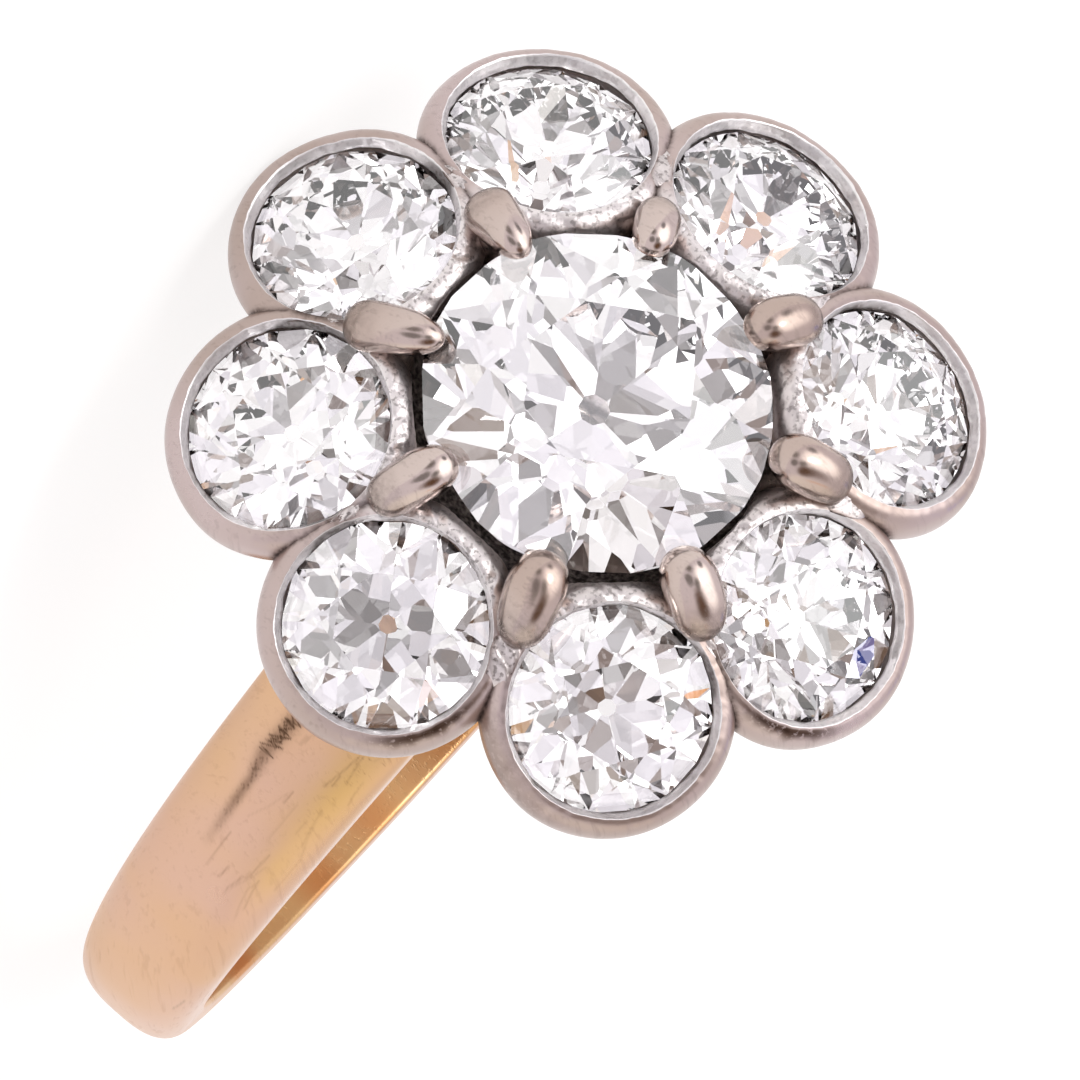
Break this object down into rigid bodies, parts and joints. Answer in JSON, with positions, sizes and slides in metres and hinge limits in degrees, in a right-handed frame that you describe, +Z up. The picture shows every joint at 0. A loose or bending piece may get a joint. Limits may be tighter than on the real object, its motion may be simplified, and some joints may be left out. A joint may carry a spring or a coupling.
{
  "type": "cluster ring",
  "caption": "Daisy cluster ring: round old-cut stones in collets around a larger claw-set stone, on a plain gold band that tapers to the back.",
  "frame": {"origin": "middle of the bottom of the bounding box: the ring lies on its side on Z = 0, on one collet and on the back of the band", "axes": "+Z up from the surface, -Y toward the front of the head, X across the head along the band"},
  "size_m": [0.0196, 0.0233, 0.0142],
  "materials": {
    "gold": "worn polished 18 carat gold",
    "platinum": "satin platinum with bright-cut edges",
    "diamond": "polished old-cut diamond"
  },
  "bodies": {
    "root": {"shank": "gold", "cluster_setting": "platinum", "centre_stone": "diamond", "petal_stone_1": "diamond", "petal_stone_2": "diamond", "petal_stone_3": "diamond", "petal_stone_4": "diamond", "petal_stone_5": "diamond", "petal_stone_6": "diamond", "petal_stone_7": "diamond", "petal_stone_8": "diamond"}
  },
  "joints": []
}
